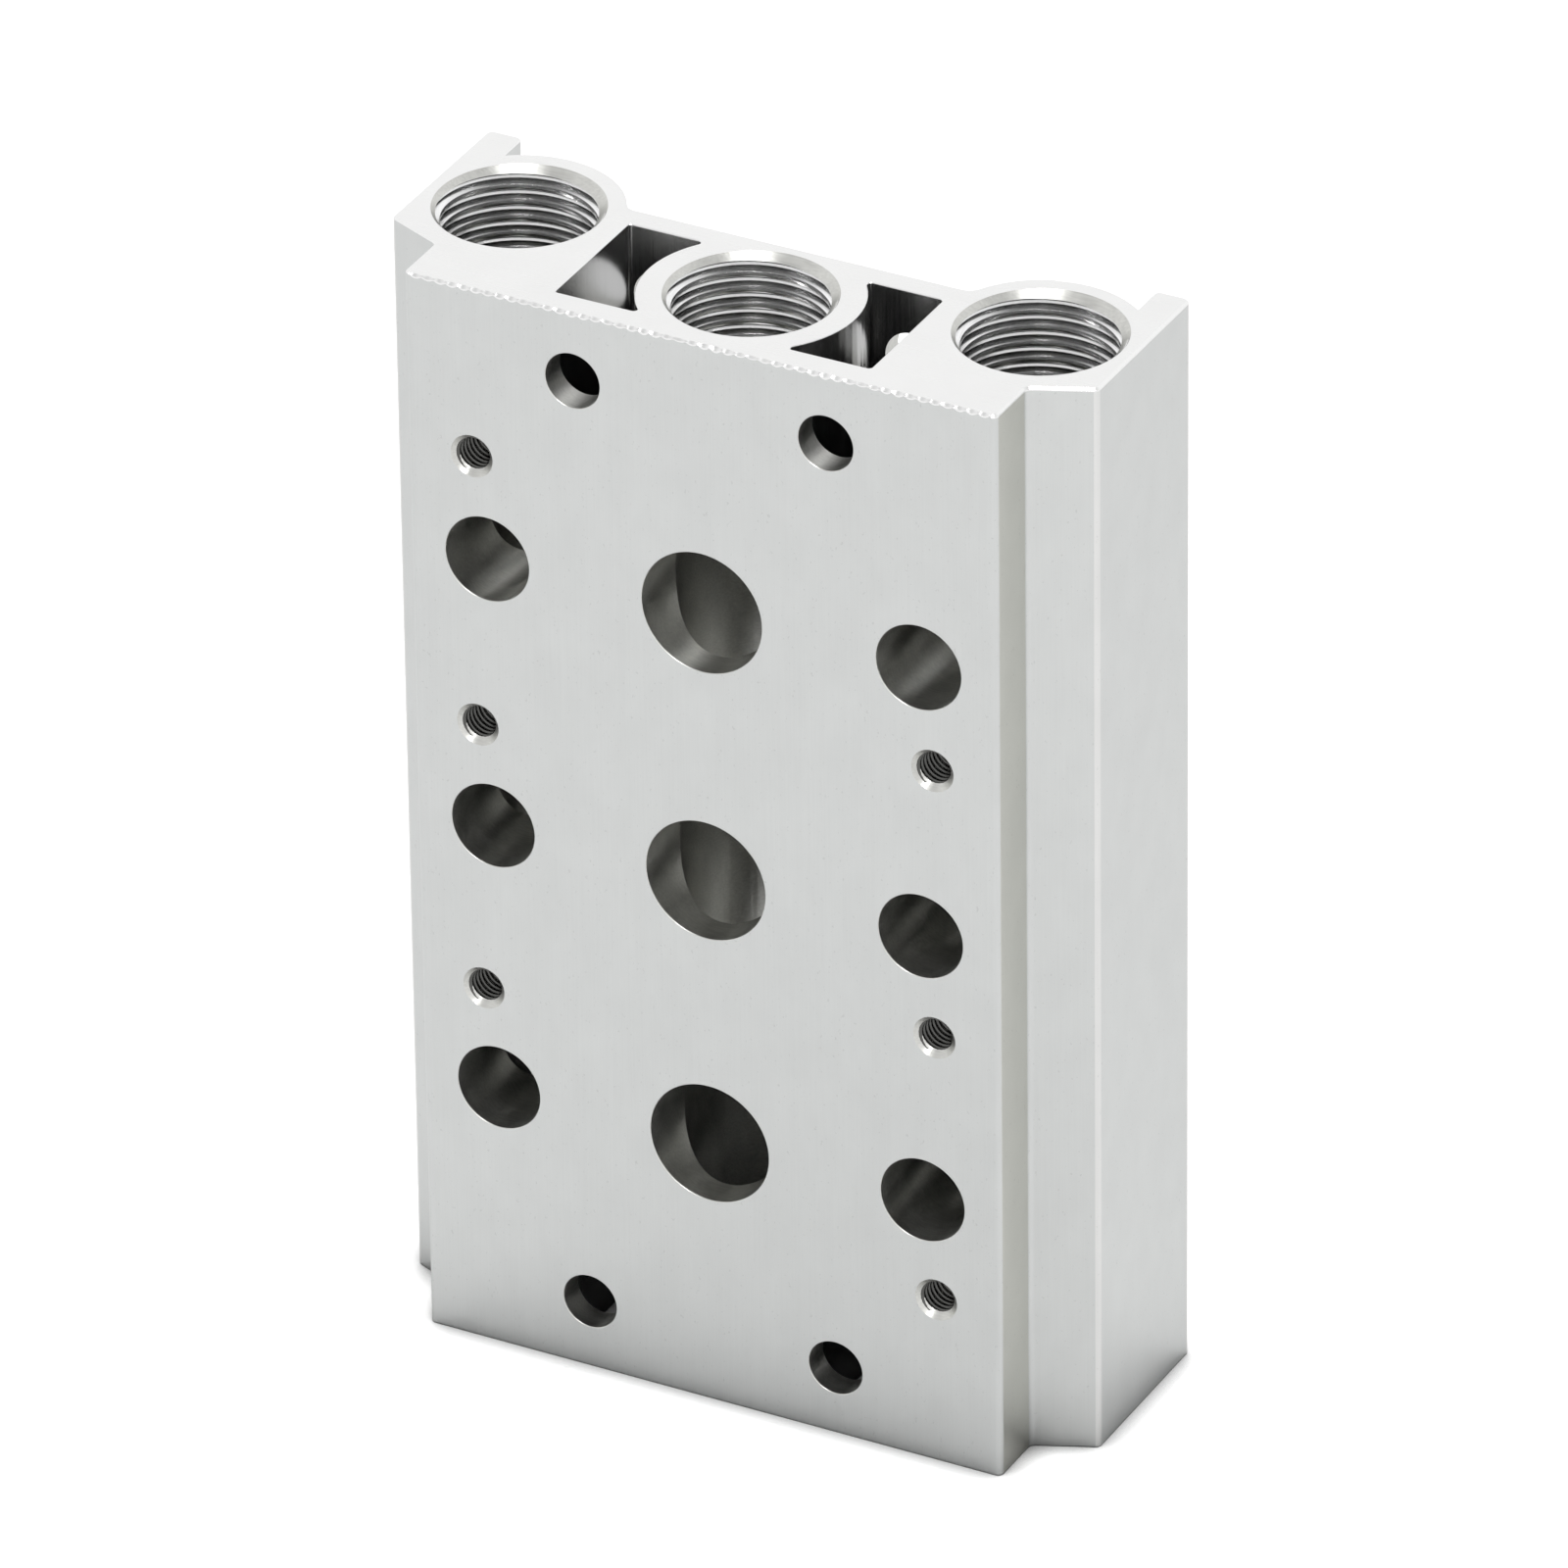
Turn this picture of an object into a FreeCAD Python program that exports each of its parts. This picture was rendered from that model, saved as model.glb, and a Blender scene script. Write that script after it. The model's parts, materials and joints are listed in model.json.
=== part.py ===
"""Manifold base for a bank of three pneumatic valves: one aluminium extrusion, sawn and machined.

The extrusion runs along Z and stands on its lower end, at Z = 0. The valves bolt to the front
face, which looks along -Y, and X runs across it. The origin is the middle of the footprint.
Places in the cross-section are given as (across, depth): across from the centre line, and depth
from the front face towards the back. All sizes are in millimetres.
"""
import FreeCAD, Part
import math
import os

# Stations: one valve sits on each, spaced along the extrusion
station_count = 3
station_pitch = 23.0
end_length = 22.75  # from the centre of the outermost valve to the end face

# Galleries right through the extrusion: the supply up the middle, an exhaust up each side
gallery_diameter = 11.8  # the drill size for the G 1/4 pipe thread in both of its ends
port_chamfer = 0.7  # opens the thread at the end face
supply_front_wall = 1.9  # from the front face to the mouth of the supply port
supply_back_wall = 0.9  # from that mouth to the back of the web
supply_side_wall = 2.0  # from that mouth to the pockets
exhaust_across = 21.7
exhaust_depth = 12.8
exhaust_boss_wall = 1.4  # round the mouth of an exhaust port, at the back
exhaust_outer_wall = 1.0  # from that mouth to the outer side

# Outline
face_width = 49.0  # raised front face that the valves sit on
step_depth = 4.9  # side of the raised face, down to the shoulder
shoulder_fall = 2.1  # how much further back the shoulder's outer edge lies than its inner edge
leg_thickness = 2.85
leg_reach = 1.4  # how far the legs stand out behind the bosses
edge_radius = 0.5  # outer corners
corner_radius = 0.6  # inner corner between the step and the shoulder
root_radius = 1.2  # where the boss round an exhaust gallery meets the web

# Pockets that lighten the extrusion, one each side of the supply gallery
pocket_front_wall = 2.3
pocket_back_wall = 2.05
pocket_outer_wall = 2.0  # to the mouth of the exhaust port
pocket_radius = 0.3

# Holes of each station, in the front face
supply_hole = 10.0
exhaust_hole = 7.0
exhaust_hole_across = 18.0
screw_bore = 2.5  # the drill size for an M3 thread
screw_chamfer = 0.5
screw_point_wall = 0.7  # left between the hole's point and the exhaust gallery
screw_across = 19.1
screw_along = 8.5  # from the station's centre: up on the left, down on the right
drill_point_angle = 118.0

# Holes that fix the manifold to a panel, through both walls of a pocket
fixing_hole = 4.5
fixing_spacing = 21.0
fixing_end_distance = 5.75

# Sizes that follow from these
length = (station_count - 1) * station_pitch + 2 * end_length
stations = [end_length + n * station_pitch for n in range(station_count)]
gallery_radius = gallery_diameter / 2
mouth_radius = gallery_radius + port_chamfer
supply_depth = supply_front_wall + mouth_radius
supply_boss = mouth_radius + supply_side_wall
web_depth = supply_depth + mouth_radius + supply_back_wall
exhaust_boss = mouth_radius + exhaust_boss_wall
half_width = exhaust_across + mouth_radius + exhaust_outer_wall
body_depth = exhaust_depth + exhaust_boss + leg_reach

SAME = 1e-4  # points closer than this are one point
INTO_FACE = FreeCAD.Vector(0, 1, 0)
UP = FreeCAD.Vector(0, 0, 1)
DOWN = FreeCAD.Vector(0, 0, -1)


def place(across, depth, along=0.0):
    """A point of the part, with its depth measured from the front face."""
    return FreeCAD.Vector(across, depth - body_depth / 2, along)


def beside(radius, offset):
    """Half the chord that a circle cuts from a line at this offset from its centre."""
    return math.sqrt(radius**2 - offset**2)


def line(start, end):
    return Part.LineSegment(place(*start), place(*end)).toShape()


def arc(start, middle, end):
    return Part.Arc(place(*start), place(*middle), place(*end)).toShape()


def outline_corners():
    """The corners of the outline's right half, in order from the front centre line to the back."""
    leg_inside = half_width - leg_thickness
    notch = exhaust_depth + beside(exhaust_boss, leg_inside - exhaust_across)
    root = exhaust_across - beside(exhaust_boss, web_depth - exhaust_depth)
    return {
        "front": (0, 0),
        "face edge": (face_width / 2, 0),
        "step root": (face_width / 2, step_depth),
        "shoulder edge": (half_width, step_depth + shoulder_fall),
        "leg outer": (half_width, body_depth),
        "leg inner": (leg_inside, body_depth),
        "notch": (leg_inside, notch),
        "boss root": (root, web_depth),
        "back": (0, web_depth),
    }


def outline():
    """The face of the whole cross-section: the right half and its mirror image, without pockets."""
    corners = outline_corners()
    points = list(corners.values())
    boss_top = (exhaust_across, exhaust_depth + exhaust_boss)
    boss = arc(corners["notch"], boss_top, corners["boss root"])
    straights = [line(a, b) for a, b in zip(points, points[1:]) if a != corners["notch"]]
    right = straights + [boss]
    left = [edge.mirror(place(0, 0), FreeCAD.Vector(1, 0, 0)) for edge in right]
    return Part.Face(Part.Wire(Part.sortEdges(right + left)[0]))


def pocket(side):
    """A lightening pocket: a rectangle that the round boss of the supply gallery bulges into."""
    outer = exhaust_across - mouth_radius - pocket_outer_wall
    front = pocket_front_wall
    back = web_depth - pocket_back_wall
    front_tip = beside(supply_boss, supply_depth - front)
    back_tip = beside(supply_boss, back - supply_depth)
    corners = [(back_tip, back), (outer, back), (outer, front), (front_tip, front)]
    corners = [(side * across, depth) for across, depth in corners]
    bulge = (side * supply_boss, supply_depth)
    edges = [line(a, b) for a, b in zip(corners, corners[1:])]
    edges.append(arc(corners[-1], bulge, corners[0]))
    channel = Part.Face(Part.Wire(edges)).extrude(UP * length)
    return rounded(channel, corners, pocket_radius)


def rounded(shape, corners, radius):
    """The shape with a fillet along each lengthwise edge that rises from one of the corners."""
    spots = [place(*corner) for corner in corners]
    chosen = []
    for edge in shape.Edges:
        foot, head = edge.Vertexes[0].Point, edge.Vertexes[-1].Point
        lengthwise = same_spot(foot, head)
        if lengthwise and any(same_spot(foot, spot) for spot in spots):
            chosen.append(edge)
    return shape.makeFillet(radius, chosen)


def same_spot(one, other):
    """Whether two points lie at the same place in the cross-section."""
    return math.hypot(one.x - other.x, one.y - other.y) < SAME


def extrusion():
    """The bar as it leaves the die: outline, rounded corners and the two pockets."""
    corners = outline_corners()
    bar = outline().extrude(UP * length)
    roundings = [
        (edge_radius, ["face edge", "shoulder edge", "leg outer", "leg inner"]),
        (corner_radius, ["step root"]),
        (root_radius, ["boss root"]),
    ]
    for radius, names in roundings:
        spots = [corners[name] for name in names]
        spots += [(-across, depth) for across, depth in spots]
        bar = rounded(bar, spots, radius)
    return bar.cut([pocket(-1), pocket(1)])


def countersink(bore, chamfer, start, direction):
    """The 45 degree chamfer that opens the mouth of a threaded hole."""
    return Part.makeCone(bore / 2 + chamfer, bore / 2, chamfer, start, direction)


def point_length(diameter):
    """The length of the cone that a drill leaves at the end of its hole."""
    return diameter / 2 / math.tan(math.radians(drill_point_angle / 2))


def drilled(diameter, depth, start):
    """A hole drilled back from the front face, to this full-width depth."""
    hole = Part.makeCylinder(diameter / 2, depth, start, INTO_FACE)
    point = Part.makeCone(diameter / 2, 0, point_length(diameter), start + INTO_FACE * depth, INTO_FACE)
    return hole.fuse(point)


def gallery(across, depth):
    """A gallery right through the bar, countersunk for a pipe port at each end."""
    foot, head = place(across, depth), place(across, depth, length)
    return [
        Part.makeCylinder(gallery_radius, length, foot, UP),
        countersink(gallery_diameter, port_chamfer, foot, UP),
        countersink(gallery_diameter, port_chamfer, head, DOWN),
    ]


def screw_hole(across, along):
    """A blind hole for one of the screws that hold a valve, short of the exhaust gallery behind."""
    start = place(across, 0, along)
    gallery_front = exhaust_depth - beside(gallery_radius, exhaust_across - screw_across)
    depth = gallery_front - screw_point_wall - point_length(screw_bore)
    return [drilled(screw_bore, depth, start), countersink(screw_bore, screw_chamfer, start, INTO_FACE)]


def station(along):
    """The holes of one valve: supply, two exhausts and two screw holes on a diagonal."""
    holes = [drilled(supply_hole, supply_depth, place(0, 0, along))]
    for side in (-1, 1):
        start = place(side * exhaust_hole_across, 0, along)
        holes.append(drilled(exhaust_hole, exhaust_depth, start))
        holes += screw_hole(side * screw_across, along - side * screw_along)
    return holes


def fixing_holes():
    """Two holes near each end, straight through from front to back."""
    holes = []
    for along in (fixing_end_distance, length - fixing_end_distance):
        for side in (-1, 1):
            start = place(side * fixing_spacing / 2, 0, along)
            holes.append(Part.makeCylinder(fixing_hole / 2, web_depth, start, INTO_FACE))
    return holes


def manifold_body():
    cuts = gallery(0, supply_depth)
    for side in (-1, 1):
        cuts += gallery(side * exhaust_across, exhaust_depth)
    for along in stations:
        cuts += station(along)
    cuts += fixing_holes()
    return extrusion().cut(cuts).removeSplitter().Solids[0]


os.makedirs("parts", exist_ok=True)
manifold_body().exportStep("parts/manifold_body.step")
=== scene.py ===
"""The looks of the valve manifold base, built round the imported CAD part.

One piece stands for the CAD node. Its bar is drawn again from the section of the CAD node, with
the edges of both ends broken, and is then machined as the real one is: galleries, pipe threads,
valve ports, tapped screw holes and fixing holes. Meshes are modelled in millimetres, in the
part's own frame, and are brought to metres once, at the end.
"""

import json
import math

import bmesh
import bpy
from mathutils import Matrix, Vector, noise
from mathutils.geometry import tessellate_polygon


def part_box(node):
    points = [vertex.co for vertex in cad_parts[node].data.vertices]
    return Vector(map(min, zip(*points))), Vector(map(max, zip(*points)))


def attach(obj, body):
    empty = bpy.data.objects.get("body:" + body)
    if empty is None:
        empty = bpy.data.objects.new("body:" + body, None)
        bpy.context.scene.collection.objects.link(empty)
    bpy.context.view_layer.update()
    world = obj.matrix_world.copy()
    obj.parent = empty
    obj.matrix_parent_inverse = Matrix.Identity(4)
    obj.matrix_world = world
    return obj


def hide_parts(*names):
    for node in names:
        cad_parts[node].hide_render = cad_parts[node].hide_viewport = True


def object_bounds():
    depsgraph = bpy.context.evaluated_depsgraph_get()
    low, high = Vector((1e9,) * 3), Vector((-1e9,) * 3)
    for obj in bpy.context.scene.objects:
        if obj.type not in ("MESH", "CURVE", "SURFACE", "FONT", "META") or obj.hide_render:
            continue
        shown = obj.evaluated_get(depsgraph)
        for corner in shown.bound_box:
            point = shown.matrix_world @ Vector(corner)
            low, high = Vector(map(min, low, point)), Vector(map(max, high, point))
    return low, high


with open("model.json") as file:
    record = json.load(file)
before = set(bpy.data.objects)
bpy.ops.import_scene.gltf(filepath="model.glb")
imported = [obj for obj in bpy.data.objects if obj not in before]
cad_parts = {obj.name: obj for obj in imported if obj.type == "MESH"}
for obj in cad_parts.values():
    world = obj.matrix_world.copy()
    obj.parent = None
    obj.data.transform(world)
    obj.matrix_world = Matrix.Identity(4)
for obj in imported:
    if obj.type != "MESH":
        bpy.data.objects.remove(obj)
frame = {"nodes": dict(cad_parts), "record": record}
cad_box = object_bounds()

MM = 0.001
NODE = "manifold_body"
mounts = {m["name"]: m for m in frame["record"]["mounts"]}
low, high = (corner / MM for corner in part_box(NODE))
front, length = low.y, high.z

SAME = 1e-4  # points closer than this are one point
NEAR = 0.5  # the middle of a gallery's mouth is closer than this to its axis
SIDE = high.x - 1.0  # points further across than this lie on the outer side
ON_FRONT = 0.02  # points this close to the front face lie on it
SQUARE = 0.01  # a wall whose ends are this close, across, is square to the front face

# Pipe thread, G 1/4, in both ends of each gallery
PIPE_PITCH = 1.337
PIPE_ROOT = 13.157 / 2
PIPE_FLANK = 27.5  # degrees, half the angle between the flanks
PIPE_ROUND = 0.1373 * PIPE_PITCH  # radius at the root
PIPE_CREST = 0.03  # how far the crests lie outside the drilled bore
PIPE_DEPTH = 10.5
PIPE_COLUMNS = 64  # steps in one turn
PIPE_PHASE = 0.17  # turns by which the thread's start is turned away from the camera
PORT_CHAMFER = 0.7

# Screw thread, M3, in the front face
SCREW_PITCH = 0.5
SCREW_ROOT = 3.0 / 2
SCREW_FLANK = 30.0
SCREW_ROUND = 0.04
SCREW_CREST = 0.02
SCREW_DEPTH = 4.5
SCREW_COLUMNS = 24
SCREW_HOLE_DEPTH = 6.05
SCREW_CHAMFER = 0.5
SCREW_ACROSS, SCREW_ALONG = 19.1, 8.5  # from the station's centre

# Both threads
LEAD_IN = 1.3  # pitches that a thread starts outside the metal
RUNOUT = 1.5  # turns in which it fades away at its far end
SUNK = 0.1  # how far inside the bore its cutter ends
CREST_ROUND = 0.5  # share of the flat crest that is rounded off
CREST_SAG = 0.28  # how far that rounding falls, as a share of its width

# Holes for air
SUPPLY_RADIUS = 5.0
EXHAUST_RADIUS = 3.5
EXHAUST_ACROSS = 18.0
DRILL_POINT = math.tan(math.radians(118 / 2))
FIXING_DEPTH = 17.0  # past the back of the web
GALLERY_STEPS, HOLE_STEPS = 96, 72  # flats round a gallery, and round a smaller hole

# How the metal is left
RIM = 0.05  # broken edge round a hole in the front face
BROKEN = 0.10  # broken edge along the rest of both ends
SIDE_BROKEN = 0.28  # broken edge of the upper end, along the sides
BITE = 1.0  # from one tooth mark to the next along the front edge of the upper end
BITES_VARY = 3.0  # length along that edge over which the marks grow stronger or weaker
BITE_STRENGTH, BITE_SPREAD = 0.75, 0.5  # how strong the marks are, and how much that varies
BITE_BLUNT = 0.7  # less than 1, so that the marks are broad and the gaps between them narrow
TOOTH = 0.32  # how much wider a tooth mark makes the broken edge
BURR = 0.02  # how far the burr at each tooth mark stands out of the front face
BURR_START = 1.5  # how far below the end it starts, in widths of the broken edge
ROUNDED = 0.6  # a stretch of the section that is shorter than this belongs to a rounded corner
EDGE_STEP = 0.16  # longest stretch between two points of the section
MITRE = 0.5  # keeps a sharp corner from moving more than twice as far as its sides
BEVEL = 0.6  # share of the upper end's broken edge that is bevelled at 45 degrees
SHARP = math.radians(28)  # edges that turn by more than this look sharp
CLEAR = 0.01  # a cutter is this much wider than the plain hole that it replaces
BEYOND = 1.0  # how far a cutter starts outside the metal

# The camera, as fitted to the photo, in degrees and millimetres
LENS = 390.0
EYE_AZIMUTH, EYE_ELEVATION, EYE_ROLL = 27.95, 30.47, -0.715
EYE_DISTANCE = 1274.2
AIM_SHIFT = Vector((0.14, 1.32, 1.87))  # from the middle of the CAD part

# The light
SKY = [(0.55, 1.0), (0.78, 0.75), (0.92, 0.22), (1.0, 0.08)]  # (sine of the elevation, grey)
LAMP_DISTANCE = 1.2  # metres
OCCLUSION_SAMPLES = 6
FLOOR_SIZE = 6.0  # metres, half its side
FLOOR_GREY = 0.85
FLOOR_GLOW = {"Is Camera Ray": 0.52, "Is Transmission Ray": 0.52, "Is Glossy Ray": 0.04}

# The finish of each face, as its place in the list of materials. THREAD's grooves, POCKET, STEP and
# TAPPED carry painted shade, and EDGE carries a painted highlight
SKIN, CUT_END, BORE, THREAD, POCKET, STEP, EDGE, TAPPED = range(8)


def section_loops():
    """The loops that bound the CAD node's lower end, as (x, y) points, with metal on their left."""
    mesh = bmesh.new()
    mesh.from_mesh(frame["nodes"][NODE].data)
    bmesh.ops.scale(mesh, vec=Vector((1, 1, 1)) / MM, verts=mesh.verts)
    bmesh.ops.remove_doubles(mesh, verts=mesh.verts, dist=SAME)
    end = {f for f in mesh.faces if all(abs(v.co.z - low.z) < SAME for v in f.verts)}
    following = {}
    for face in end:
        for corner in face.loops:
            if not any(f in end for f in corner.edge.link_faces if f is not face):
                following[corner.link_loop_next.vert] = corner.vert
    loops = []
    while following:
        start, vert = following.popitem()
        loop = [start.co.xy]
        while vert is not start:
            loop.append(vert.co.xy)
            vert = following.pop(vert)
        loops.append([Vector(p) for p in loop])
    mesh.free()
    return loops


def is_gallery(loop):
    """Whether a loop of the section is the mouth of a gallery, which a cutter makes instead."""
    middle = sum(loop, Vector((0, 0))) / len(loop)
    return any((middle - axis).length < NEAR for axis in gallery_axes())


def gallery_axes():
    return [Vector(m["pos_m"][:2]) / MM for name, m in mounts.items() if name.endswith("_upper")]


def divided(loop):
    """The loop with its long stretches divided, and the finish of the wall on each stretch."""
    points, walls = [], []
    for n, start in enumerate(loop):
        end = loop[(n + 1) % len(loop)]
        pieces = max(1, math.ceil((end - start).length / EDGE_STEP))
        points += [start.lerp(end, k / pieces) for k in range(pieces)]
        walls += [wall_finish(loop, n)] * pieces
    return points, walls


def wall_finish(loop, n):
    """The finish of the wall that follows a stretch of the section."""
    one, other = loop[n], loop[(n + 1) % len(loop)]
    if all(point.x < SIDE for point in loop):
        return POCKET
    if (other - one).length < ROUNDED and abs(one.x) > SIDE:
        return EDGE
    square = abs(one.x - other.x) < SQUARE
    return STEP if square and abs(one.x) < SIDE and one.y < 0 else SKIN


def outward(loop):
    """At each point of the loop, the step out of the metal that moves both its sides by one."""
    steps = []
    for before, point, after in zip(loop[-1:] + loop[:-1], loop, loop[1:] + loop[:1]):
        sides = [(point - before).normalized(), (after - point).normalized()]
        normals = [Vector((side.y, -side.x)) for side in sides]
        middle = (normals[0] + normals[1]).normalized()
        steps.append(middle / max(MITRE, middle.dot(normals[0])))
    return steps


def upper_edge(point):
    """How the upper end's edge is left at a point of the section: its width, and its burr."""
    if point.y > front + ON_FRONT:
        return (SIDE_BROKEN if point.x > SCREW_ACROSS else BROKEN), 0.0
    strength = BITE_STRENGTH + BITE_SPREAD * noise.noise(Vector((point.x / BITES_VARY, 0, 0)))
    bite = strength * abs(math.sin(math.pi * point.x / BITE)) ** BITE_BLUNT
    return BROKEN + TOOTH * bite, BURR * bite


def levels(point):
    """The height of each ring of the blank at a point of the section, and how far out it lies."""
    width, burr = upper_edge(point)
    bevel = BEVEL * width
    return [(0.0, -BROKEN), (BROKEN, 0.0), (length - BURR_START * width, 0.0),
            (length - width, burr), (length - bevel, burr), (length, -bevel)]


def blank():
    """The sawn bar: the section run from end to end, with its edges broken."""
    mesh = bmesh.new()
    loops = [divided(loop) for loop in section_loops() if not is_gallery(loop)]
    ends = [], []
    for loop, walls in loops:
        columns = []
        for point, step in zip(loop, outward(loop)):
            places = [(point + step * out, level) for level, out in levels(point)]
            columns.append([mesh.verts.new((place.x, place.y, level)) for place, level in places])
        for here, after in enumerate(columns):
            before = columns[here - 1]
            for n in range(len(before) - 1):
                quad = mesh.faces.new((before[n], after[n], after[n + 1], before[n + 1]))
                quad.material_index = walls[here - 1] if n in (1, 2) else CUT_END
        ends[0].append([column[0] for column in columns])
        ends[1].append([column[-1] for column in columns])
    for rings in ends:
        verts = [vert for ring in rings for vert in ring]
        for triangle in tessellate_polygon([[vert.co for vert in ring] for ring in rings]):
            mesh.faces.new([verts[n] for n in triangle]).material_index = CUT_END
    return closed(mesh, "manifold")


def closed(mesh, name):
    """A new object from a closed mesh, with its faces turned outwards."""
    bmesh.ops.recalc_face_normals(mesh, faces=mesh.faces)
    data = bpy.data.meshes.new(name)
    mesh.to_mesh(data)
    mesh.free()
    for material in finishes:
        data.materials.append(material)
    piece = bpy.data.objects.new(name, data)
    bpy.context.scene.collection.objects.link(piece)
    return piece


def turned(name, profile, place, material, steps):
    """A cutter turned round its own Z from (radius, height) points that start and end on it."""
    mesh = bmesh.new()
    angles = [math.tau * n / steps for n in range(steps)]
    foot, *rims, tip = profile
    rings = []
    for radius, height in rims:
        rings.append([mesh.verts.new((radius * math.cos(a), radius * math.sin(a), height))
                      for a in angles])
    for lower, upper in zip(rings, rings[1:]):
        for n in range(steps):
            mesh.faces.new((lower[n - 1], lower[n], upper[n], upper[n - 1]))
    cap(mesh, rings[0], foot[1])
    cap(mesh, rings[-1], tip[1])
    return finished_cutter(mesh, name, place, material)


def cap(mesh, loop, height):
    """Closes a loop with triangles that meet on the cutter's axis, at this height."""
    centre = mesh.verts.new((0, 0, height))
    for n, vert in enumerate(loop):
        mesh.faces.new((loop[n - 1], vert, centre))


def finished_cutter(mesh, name, place, material):
    for face in mesh.faces:
        face.material_index = material
    mesh.transform(place)
    return closed(mesh, name)


def thread_form(pitch, crest, root, flank, rounding):
    """One pitch of an internal thread as (height, radius) points, from the middle of its crest."""
    lean = math.radians(flank)
    centre = root - rounding
    apex = centre + rounding / math.sin(lean)
    brink = pitch / 2 - (apex - crest) * math.tan(lean)
    soft = CREST_ROUND * brink
    crest_edge = [(brink - soft, crest), (brink, crest + soft * CREST_SAG),
                  (brink + soft * math.sin(lean), crest + soft * math.cos(lean))]
    turn = math.pi / 2 - lean
    root_arc = [(pitch / 2 + rounding * math.sin(angle), centre + rounding * math.cos(angle))
                for angle in (-turn, 0, turn)]
    far_edge = [(pitch - height, radius) for height, radius in reversed(crest_edge)]
    return [(0.0, crest)] + crest_edge + root_arc + far_edge


def screw(name, pitch, form, depth, bore, place, columns, material, phase=0.0):
    """A closed right-handed screw that cuts a thread up its own Z and runs out at its far end."""
    mesh = bmesh.new()
    start = -LEAD_IN * pitch
    turns = (depth - start) / pitch
    strip = screw_strip(mesh, pitch, form, start, round(turns * columns), bore, columns, phase)
    join_turns(mesh, strip, columns)
    foot = [column[0] for column in strip[:columns + 1]] + strip[0][:0:-1]
    head = [column[-1] for column in strip[-columns - 1:]] + strip[-1][-2::-1]
    cap(mesh, foot, start - pitch)
    cap(mesh, head, start + pitch * (turns + 1))
    return finished_cutter(mesh, name, place, material)


def screw_strip(mesh, pitch, form, start, steps, bore, columns, phase):
    """The strip that winds up the screw, as one column of vertices for each step."""
    strip = []
    for step in range(steps + 1):
        angle = math.tau * (step / columns + phase)
        fade = min(1.0, (steps - step) / (RUNOUT * columns))
        column = []
        for height, radius in form:
            reach = (bore - SUNK) * (1 - fade) + radius * fade
            level = start + pitch * step / columns + height
            place = (reach * math.cos(angle), reach * math.sin(angle), level)
            column.append(mesh.verts.new(place))
        strip.append(column)
    return strip


def join_turns(mesh, strip, columns):
    """The faces of the strip, and those that join each of its turns to the next."""
    for step, (here, there) in enumerate(zip(strip, strip[1:])):
        for k in range(len(here) - 1):
            mesh.faces.new((here[k], there[k], there[k + 1], here[k + 1]))
        if step + 1 + columns < len(strip):
            above, beside = strip[step + columns], strip[step + 1 + columns]
            mesh.faces.new((here[-1], there[-1], beside[0], above[0]))


def into_front(across, along):
    """Where a cutter stands that runs up its own Z into the front face."""
    return Matrix.Translation((across, front, along)) @ Matrix.Rotation(math.radians(-90), 4, "X")


def cut(piece, cutter):
    """Takes the cutter out of the piece, and deletes it."""
    step = piece.modifiers.new("cut", "BOOLEAN")
    step.operation = "DIFFERENCE"
    step.solver = "MANIFOLD"
    step.object = cutter
    graph = bpy.context.evaluated_depsgraph_get()
    made = bpy.data.meshes.new_from_object(piece.evaluated_get(graph))
    piece.modifiers.clear()
    piece.data = made
    bpy.data.objects.remove(cutter)


def galleries(piece):
    """The bores right through the bar, with the chamfers of their ports."""
    for axis in gallery_axes():
        bore = mounts["supply_port_upper"]["dims"]["r_mm"]
        reach = PORT_CHAMFER + BEYOND
        profile = [(0, -BEYOND), (bore + reach, -BEYOND), (bore, PORT_CHAMFER),
                   (bore, length - PORT_CHAMFER), (bore + reach, length + BEYOND),
                   (0, length + BEYOND)]
        cut(piece, turned("gallery", profile, Matrix.Translation(axis.to_3d()), BORE, GALLERY_STEPS))


def pipe_threads(piece):
    bore = mounts["supply_port_upper"]["dims"]["r_mm"]
    form = thread_form(PIPE_PITCH, bore + PIPE_CREST, PIPE_ROOT, PIPE_FLANK, PIPE_ROUND)
    upside_down = Matrix.Rotation(math.pi, 4, "X")
    for axis in gallery_axes():
        foot = Matrix.Translation(axis.to_3d())
        head = Matrix.Translation((axis.x, axis.y, length)) @ upside_down
        for place in (foot, head):
            cut(piece, screw("thread", PIPE_PITCH, form, PIPE_DEPTH, bore, place,
                             PIPE_COLUMNS, THREAD, PIPE_PHASE))


def drill(piece, name, radius, depth, place, rim=RIM):
    """A hole with a drill's point and a broken rim."""
    wide = radius + CLEAR
    profile = [(0, -BEYOND), (wide + rim + BEYOND, -BEYOND), (wide, rim),
               (wide, depth), (0, depth + wide / DRILL_POINT)]
    cut(piece, turned(name, profile, place, BORE, HOLE_STEPS))


def stations(piece):
    for name in sorted(n for n in mounts if n.startswith("valve_screws")):
        along = mounts[name]["pos_m"][2] / MM
        valve_holes(piece, along)
        screw_holes(piece, along)


def valve_holes(piece, along):
    """The supply hole and the two exhaust holes of one valve, each as deep as its gallery's axis."""
    supply_depth = mounts["supply_port_upper"]["pos_m"][1] / MM - front
    exhaust_depth = mounts["exhaust_port_left_upper"]["pos_m"][1] / MM - front
    drill(piece, "supply_hole", SUPPLY_RADIUS, supply_depth, into_front(0, along))
    for side in (-1, 1):
        place = into_front(side * EXHAUST_ACROSS, along)
        drill(piece, "exhaust_hole", EXHAUST_RADIUS, exhaust_depth, place)


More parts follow.
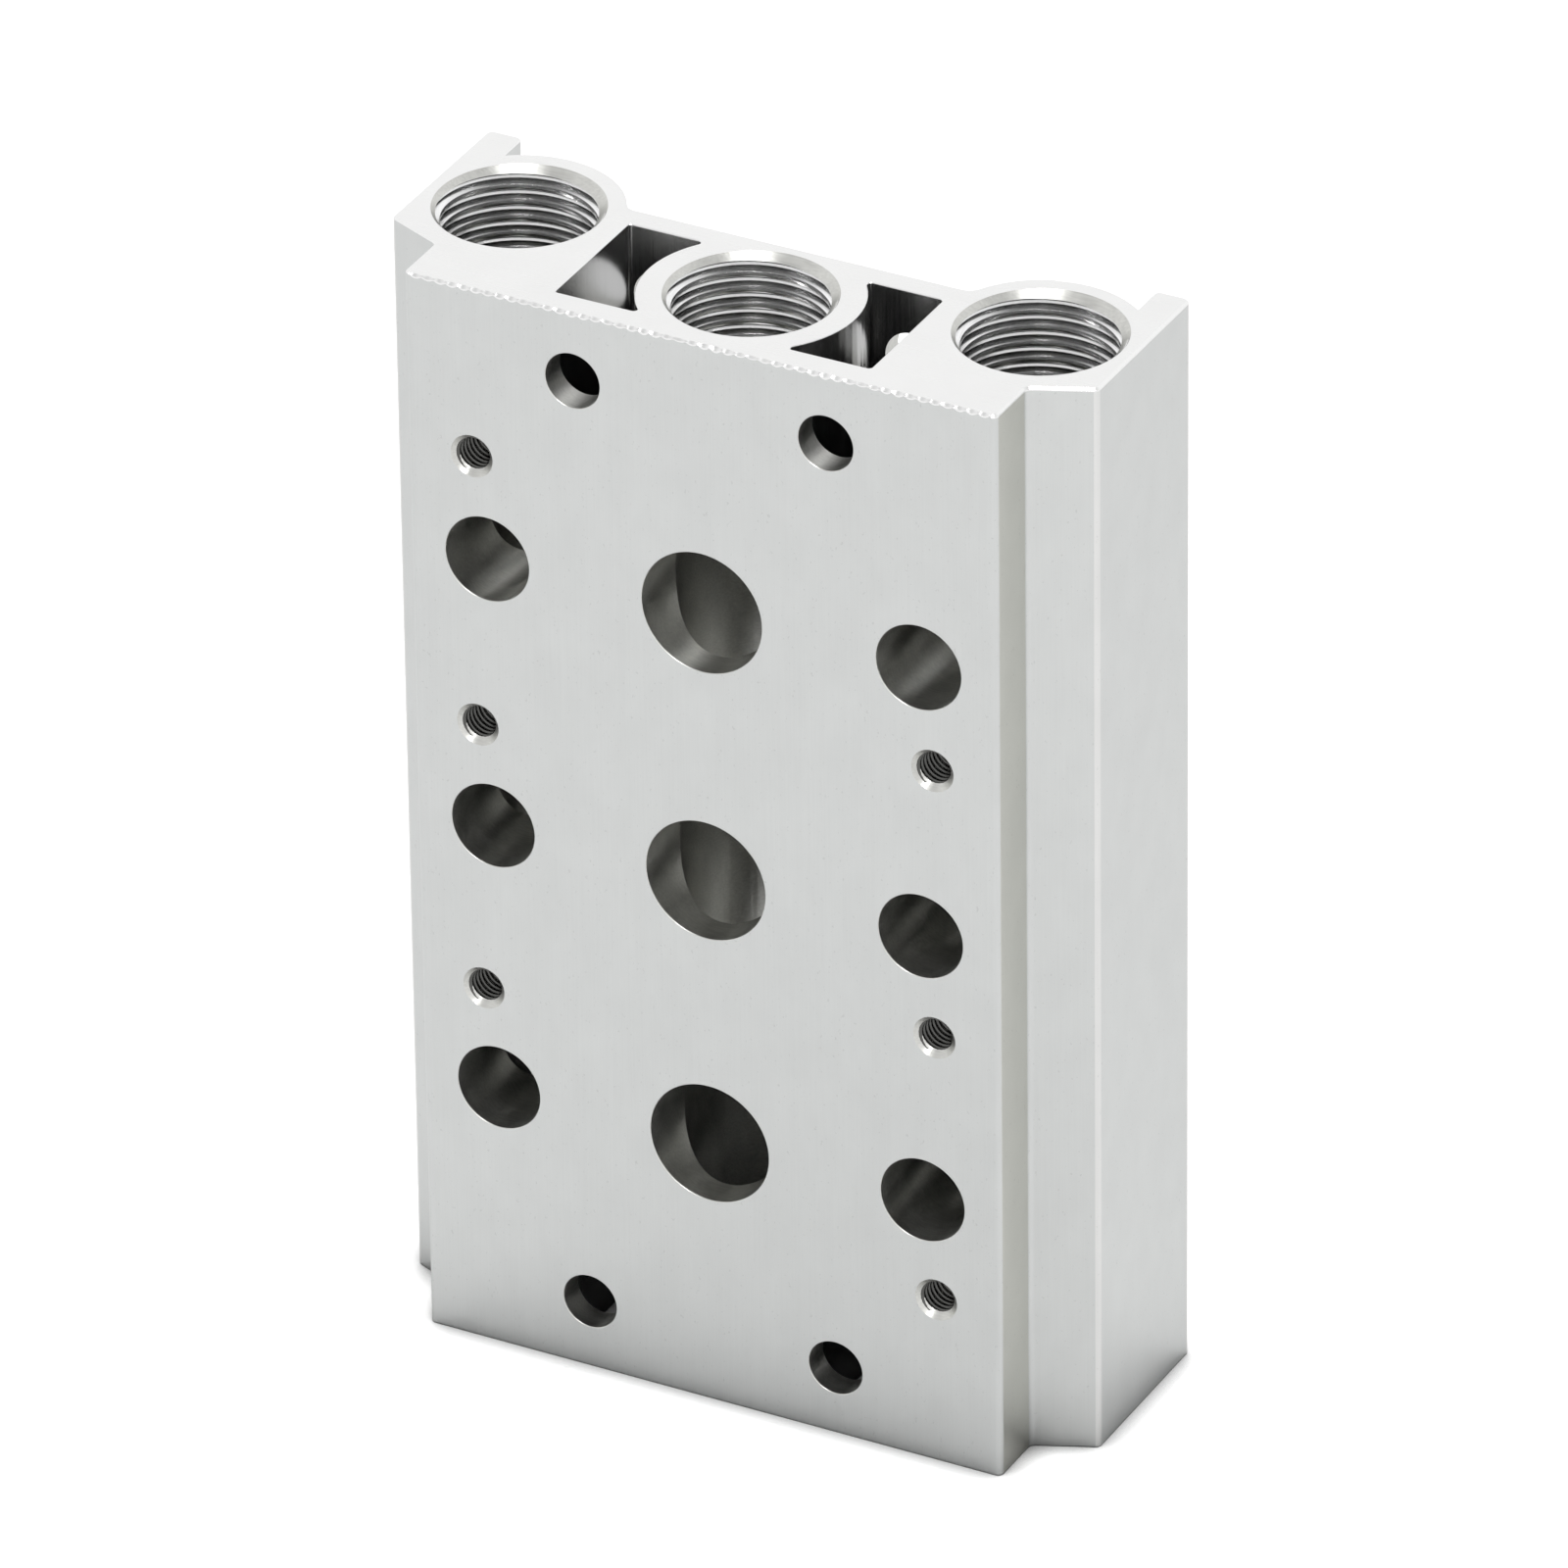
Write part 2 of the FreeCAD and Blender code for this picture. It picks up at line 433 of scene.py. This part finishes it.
def screw_holes(piece, along):
    """The two tapped holes that hold one valve: up on the left, down on the right."""
    bore = mounts["valve_screws_1"]["dims"]["hole_r_mm"]
    form = thread_form(SCREW_PITCH, bore + SCREW_CREST, SCREW_ROOT, SCREW_FLANK, SCREW_ROUND)
    for side in (-1, 1):
        place = into_front(side * SCREW_ACROSS, along - side * SCREW_ALONG)
        drill(piece, "screw_hole", bore, SCREW_HOLE_DEPTH, place, rim=SCREW_CHAMFER)
        cut(piece, screw("thread", SCREW_PITCH, form, SCREW_DEPTH, bore, place,
                         SCREW_COLUMNS, TAPPED))


def fixing_holes(piece):
    pattern = mounts["fixing_holes"]
    dims = pattern["dims"]
    middle = pattern["pos_m"][2] / MM
    across, along = dims["spacing_x_mm"] / 2, dims["spacing_y_mm"] / 2
    for side in (-1, 1):
        for end in (-1, 1):
            place = into_front(side * across, middle + end * along)
            drill(piece, "fixing_hole", dims["hole_r_mm"], FIXING_DEPTH, place)


def manifold():
    piece = blank()
    galleries(piece)
    pipe_threads(piece)
    stations(piece)
    fixing_holes(piece)
    piece.data.transform(Matrix.Scale(MM, 4))
    piece.data.polygons.foreach_set("use_smooth", [True] * len(piece.data.polygons))
    piece.data.set_sharp_from_angle(angle=SHARP)
    return piece


class Finish:
    """A metal finish: a material whose nodes are added one at a time."""

    def __init__(self, name):
        self.material = bpy.data.materials.new(name)
        self.material.use_nodes = True
        self.tree = self.material.node_tree
        self.shader = self.tree.nodes["Principled BSDF"]
        self.shader.inputs["Metallic"].default_value = 1.0
        self.place = self.add("ShaderNodeTexCoord").outputs["Object"]

    def add(self, kind, inputs=(), **settings):
        """A node, with its settings, and its inputs given as values or as other nodes' outputs."""
        node = self.tree.nodes.new(kind)
        for name, value in settings.items():
            setattr(node, name, value)
        for socket, value in dict(inputs).items():
            if isinstance(value, bpy.types.NodeSocket):
                self.tree.links.new(value, node.inputs[socket])
            else:
                node.inputs[socket].default_value = value
        return node

    def noise(self, size, detail=2.0, seed=0.0):
        """Noise from 0 to 1 whose grains measure about this (x, y, z), in millimetres."""
        scale = tuple(1 / (axis * MM) for axis in size)
        spread = self.add("ShaderNodeMapping",
                          {"Vector": self.place, "Scale": scale, "Location": (seed,) * 3})
        grain = self.add("ShaderNodeTexNoise",
                         {"Vector": spread.outputs[0], "Scale": 1.0, "Detail": detail})
        return grain.outputs["Fac"]

    def ramp(self, value, *stops):
        """Colours or greys along a value, as (position, colour) stops."""
        ramp = self.add("ShaderNodeValToRGB", {"Fac": value})
        for _ in stops[2:]:
            ramp.color_ramp.elements.new(0.5)
        for element, (position, colour) in zip(ramp.color_ramp.elements, stops):
            colour = (colour,) * 3 if isinstance(colour, float) else colour
            element.position = position
            element.color = (*colour, 1.0)
        return ramp.outputs["Color"]

    def times(self, one, other):
        """Two colours multiplied."""
        mix = self.add("ShaderNodeMix", {"Factor": 1.0}, data_type="RGBA", blend_type="MULTIPLY")
        for socket, value in ((mix.inputs[6], one), (mix.inputs[7], other)):
            if isinstance(value, bpy.types.NodeSocket):
                self.tree.links.new(value, socket)
            else:
                socket.default_value = (*value, 1.0)
        return mix.outputs[2]

    def wear(self, colour, roughness, bump, height=0.01):
        """Joins colour, roughness and bump to the shader. The bump's height is in millimetres."""
        self.tree.links.new(colour, self.shader.inputs["Base Color"])
        self.tree.links.new(roughness, self.shader.inputs["Roughness"])
        relief = self.add("ShaderNodeBump",
                          {"Height": bump, "Distance": height * MM, "Strength": 1.0})
        self.tree.links.new(relief.outputs[0], self.shader.inputs["Normal"])
        return self.material


def skin_finish(name, tone, roughness=0.30):
    """Satin skin of this tone, with the fine lines that the die leaves along the bar."""
    finish = Finish(name)
    lines = finish.noise((0.12, 0.12, 9.0), seed=3.0)
    clouds = finish.noise((2.5, 2.5, 4.0), seed=7.0)
    specks = finish.noise((0.22, 0.22, 0.3), detail=1.0, seed=11.0)
    colour = finish.times(finish.ramp(lines, (0.3, 0.975), (0.7, 1.0)),
                          finish.ramp(clouds, (0.3, 0.97), (0.7, 1.0)))
    colour = finish.times(colour, finish.ramp(specks, (0.22, 0.88), (0.30, 1.0)))
    colour = finish.times(colour, tone)
    dullness = finish.ramp(lines, (0.2, roughness), (0.8, roughness + 0.10))
    return finish.wear(colour, dullness, lines, 0.004)


def cut_finish():
    """Bright milled ends, with shallow marks across them."""
    finish = Finish("milled_end")
    marks = finish.noise((8.0, 0.10, 8.0), seed=5.0)
    clouds = finish.noise((3.0, 3.0, 3.0), seed=2.0)
    colour = finish.times(finish.ramp(marks, (0.3, 0.985), (0.7, 1.0)),
                          finish.ramp(clouds, (0.3, 0.98), (0.7, 1.0)))
    colour = finish.times(colour, (0.935, 0.935, 0.93))
    return finish.wear(colour, finish.ramp(marks, (0.2, 0.25), (0.8, 0.34)), marks, 0.001)


def bore_finish():
    """Drilled walls, a little darker, with the rings that the drill leaves."""
    finish = Finish("drilled_bore")
    rings = finish.noise((6.0, 0.15, 0.15), seed=9.0)
    clouds = finish.noise((1.5, 1.5, 3.0), seed=4.0)
    colour = finish.times(finish.ramp(rings, (0.3, 0.85), (0.7, 1.0)),
                          finish.ramp(clouds, (0.3, 0.88), (0.7, 1.0)))
    colour = finish.times(colour, (0.74, 0.74, 0.71))
    return finish.wear(colour, finish.ramp(clouds, (0.2, 0.31), (0.8, 0.38)), rings, 0.005)


def thread_finish():
    """Tapped threads: bright crests, and grooves darkened with painted shade where the thread's own
    walls hide the sky.
    """
    finish = Finish("tapped_thread")
    # painted shade: the less sky a point of the thread sees within 1 mm, the darker its colour
    openness = finish.add("ShaderNodeAmbientOcclusion", {"Distance": 1.0 * MM},
                          samples=OCCLUSION_SAMPLES)
    lines = finish.noise((3.0, 3.0, 0.10), seed=6.0)
    colour = finish.times(finish.ramp(openness.outputs["AO"], (0.30, 0.07), (0.60, 0.95)),
                          finish.ramp(lines, (0.3, 0.9), (0.6, 1.0)))
    return finish.wear(colour, finish.ramp(lines, (0.3, 0.13), (0.7, 0.20)), lines, 0.002)


finishes = [
    skin_finish("satin_skin", (0.69, 0.702, 0.695)),
    cut_finish(),
    bore_finish(),
    thread_finish(),
    # painted shade: the walls inside the pockets get a darker tone than the outer skin, for the
    # shade within them
    skin_finish("pocket_painted_shade", (0.52, 0.52, 0.52), roughness=0.18),
    # painted shade: the side of the front step gets a darker tone than the outer sides, for the
    # shade of the shoulder beside it; the tone is also a little warmer
    skin_finish("step_painted_shade", (0.655, 0.655, 0.61)),
    # painted highlight: the rounded corners along the outer sides get a paler tone, standing in for
    # the bright line that light draws along them
    skin_finish("edge_painted_highlight", (0.80, 0.80, 0.79)),
    # painted shade: the tapped screw holes get a very dark tone, for the shade deep inside these
    # narrow holes
    skin_finish("small_thread_painted_shade", (0.12, 0.12, 0.115), roughness=0.20),
]
piece = manifold()
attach(piece, "root")
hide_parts(NODE)


def orbit(aim, azimuth, elevation, distance, roll=0.0):
    """Where something stands that looks at a point, with its azimuth counted from the front."""
    turn = (Matrix.Rotation(math.radians(azimuth), 4, "Z")
            @ Matrix.Rotation(math.radians(90 - elevation), 4, "X")
            @ Matrix.Rotation(math.radians(roll), 4, "Z"))
    return Matrix.Translation(aim) @ turn @ Matrix.Translation((0, 0, distance))


def camera():
    data = bpy.data.cameras.new("camera")
    data.lens = LENS
    data.clip_end = 10
    eye = bpy.data.objects.new("camera", data)
    bpy.context.scene.collection.objects.link(eye)
    aim = (cad_box[0] + cad_box[1]) / 2 + AIM_SHIFT * MM
    eye.matrix_world = orbit(aim, EYE_AZIMUTH, EYE_ELEVATION, EYE_DISTANCE * MM, EYE_ROLL)
    bpy.context.scene.camera = eye


def lamp(name, azimuth, elevation, size, power):
    """A square softbox that looks at the object."""
    data = bpy.data.lights.new(name, "AREA")
    data.size = size
    data.energy = power
    box = bpy.data.objects.new(name, data)
    bpy.context.scene.collection.objects.link(box)
    box.matrix_world = orbit((cad_box[0] + cad_box[1]) / 2, azimuth, elevation, LAMP_DISTANCE)
    return box


def math_node(tree, operation, *inputs):
    node = tree.nodes.new("ShaderNodeMath")
    node.operation = operation
    for socket, value in zip(node.inputs, inputs):
        if isinstance(value, bpy.types.NodeSocket):
            tree.links.new(value, socket)
        else:
            socket.default_value = value
    return node.outputs[0]


def open_sky(tree, distance, none, full):
    """From 0 to 1, how open the sky is past what lies within this distance, in millimetres."""
    occlusion = tree.nodes.new("ShaderNodeAmbientOcclusion")
    occlusion.samples = OCCLUSION_SAMPLES
    occlusion.inputs["Distance"].default_value = distance * MM
    reach = tree.nodes.new("ShaderNodeMapRange")
    tree.links.new(occlusion.outputs["AO"], reach.inputs["Value"])
    reach.inputs["From Min"].default_value = none
    reach.inputs["From Max"].default_value = full
    return reach.outputs["Result"]


def sum_of(tree, one, other):
    return math_node(tree, "ADD", one, other)


def product_of(tree, one, other):
    return math_node(tree, "MULTIPLY", one, other)


def seen_plainly(tree):
    """1 for rays that see a plain white background: the camera's, and those that pass through."""
    path = tree.nodes.new("ShaderNodeLightPath")
    rays = path.outputs["Is Camera Ray"], path.outputs["Is Transmission Ray"]
    return math_node(tree, "MAXIMUM", *rays)


def sky():
    """An even light tent: bright low down and dimmer overhead, and white to the camera."""
    world = bpy.data.worlds.new("tent")
    bpy.context.scene.world = world
    world.use_nodes = True
    tree = world.node_tree
    background = tree.nodes["Background"]
    place = tree.nodes.new("ShaderNodeTexCoord")
    parts = tree.nodes.new("ShaderNodeSeparateXYZ")
    ramp = tree.nodes.new("ShaderNodeValToRGB")
    mix = tree.nodes.new("ShaderNodeMix")
    mix.data_type = "RGBA"
    tree.links.new(place.outputs["Generated"], parts.inputs[0])
    tree.links.new(parts.outputs["Z"], ramp.inputs[0])
    for _ in SKY[2:]:
        ramp.color_ramp.elements.new(0.5)
    for element, (height, grey) in zip(ramp.color_ramp.elements, SKY):
        element.position = height
        element.color = (grey, grey, grey, 1)
    tree.links.new(seen_plainly(tree), mix.inputs["Factor"])
    tree.links.new(ramp.outputs["Color"], mix.inputs[6])
    mix.inputs[7].default_value = (1, 1, 1, 1)
    tree.links.new(mix.outputs[2], background.inputs["Color"])


def floor_glow(tree, path, clear_of_object):
    """How strongly the floor shines by itself, which it doesn't under the object nor close beside
    it, so painted shade stays there.
    """
    share = 0.0
    for ray, strength in FLOOR_GLOW.items():
        share = sum_of(tree, share, product_of(tree, path.outputs[ray], strength))
    # painted shade: the glow fades where the object covers the floor
    uncovered = open_sky(tree, distance=12.0, none=0.30, full=0.50)
    return product_of(tree, share, product_of(tree, uncovered, clear_of_object))


def floor_tone(tree, path, clear_of_object):
    """How pale the floor is, with painted shade: darker close to the object, and more so as the
    object mirrors it.
    """
    # painted shade that only reflections see: the floor darkens where the object hides the sky
    # within 15 mm
    opened = open_sky(tree, distance=15.0, none=0.00, full=0.95)
    hidden = math_node(tree, "SUBTRACT", 1.0, opened)
    mirrored = product_of(tree, path.outputs["Is Glossy Ray"], hidden)
    left_over = math_node(tree, "SUBTRACT", 1.0, mirrored)
    return product_of(tree, product_of(tree, clear_of_object, left_over), FLOOR_GREY)


def floor_finish():
    """White to the camera, with a painted contact shadow: a soft dark line where the object stands
    on it.
    """
    material = bpy.data.materials.new("floor")
    material.use_nodes = True
    tree = material.node_tree
    tree.nodes.remove(tree.nodes["Principled BSDF"])
    matt = tree.nodes.new("ShaderNodeBsdfDiffuse")
    glow = tree.nodes.new("ShaderNodeEmission")
    both = tree.nodes.new("ShaderNodeAddShader")
    path = tree.nodes.new("ShaderNodeLightPath")
    # painted shadow: the floor darkens as the object hides more of the sky within 2.4 mm
    clear_of_object = open_sky(tree, distance=2.4, none=0.15, full=0.95)
    tree.links.new(floor_glow(tree, path, clear_of_object), glow.inputs["Strength"])
    tree.links.new(floor_tone(tree, path, clear_of_object), matt.inputs["Color"])
    tree.links.new(matt.outputs[0], both.inputs[0])
    tree.links.new(glow.outputs[0], both.inputs[1])
    tree.links.new(both.outputs[0], tree.nodes["Material Output"].inputs["Surface"])
    return material


def floor():
    """A white floor that shows the shadow of the object, partly cast by the lamps and partly
    painted, and nothing else.
    """
    mesh = bmesh.new()
    bmesh.ops.create_grid(mesh, x_segments=1, y_segments=1, size=FLOOR_SIZE)
    data = bpy.data.meshes.new("floor")
    mesh.to_mesh(data)
    mesh.free()
    data.materials.append(floor_finish())
    ground = bpy.data.objects.new("floor", data)
    bpy.context.scene.collection.objects.link(ground)


camera()
sky()
floor()
lamp("softbox", azimuth=28, elevation=60, size=0.35, power=5.4)
back_light = lamp("back_light", azimuth=200, elevation=55, size=0.5, power=1.6)
back_light.visible_glossy = False  # it lights the floor, and the metal doesn't mirror it
bpy.context.scene.view_settings.view_transform = "Standard"
